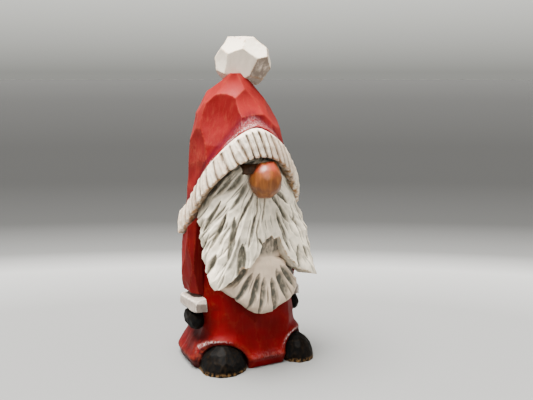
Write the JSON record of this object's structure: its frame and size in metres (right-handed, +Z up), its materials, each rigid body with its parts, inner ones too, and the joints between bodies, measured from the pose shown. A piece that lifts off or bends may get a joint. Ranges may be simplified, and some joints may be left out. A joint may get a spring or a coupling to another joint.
{
  "type": "tomte gnome figurine",
  "caption": "Carved wooden tomte gnome in a tall hat pulled down to its round nose, with a two-tier beard, long coat, mittens and boots, standing on a flat base.",
  "frame": {"origin": "middle of the footprint, on the surface that the figure stands on", "axes": "+Z up, the gnome faces -Y, +X is its own left-hand side"},
  "size_m": [0.0528, 0.0512, 0.134],
  "materials": {
    "coat_paint": "deep red acrylic over linden wood, satin to gloss",
    "hat_paint": "thinned red acrylic over knife-cut linden wood, satin",
    "trim_paint": "off-white acrylic, grey wash in the cuts, satin",
    "beard_paint": "off-white acrylic, dark grey wash in the gouge cuts, satin",
    "nose_stain": "orange-brown stain with a reddish blush, glossy",
    "black_paint": "black acrylic rubbed off at the edges, satin",
    "bare_wood": "bare linden wood"
  },
  "bodies": {
    "root": {"coat": "coat_paint", "sleeve_right": "coat_paint", "sleeve_left": "coat_paint", "hat": "hat_paint", "hat_brim": "trim_paint", "pompom": "trim_paint", "cuff_right": "trim_paint", "cuff_left": "trim_paint", "moustache": "beard_paint", "beard": "beard_paint", "nose": "nose_stain", "mitten_right": "black_paint", "mitten_left": "black_paint", "boot_right": "black_paint", "boot_left": "black_paint", "head": "bare_wood", "nose_dowel": "bare_wood", "pompom_dowel": "bare_wood"}
  },
  "joints": []
}
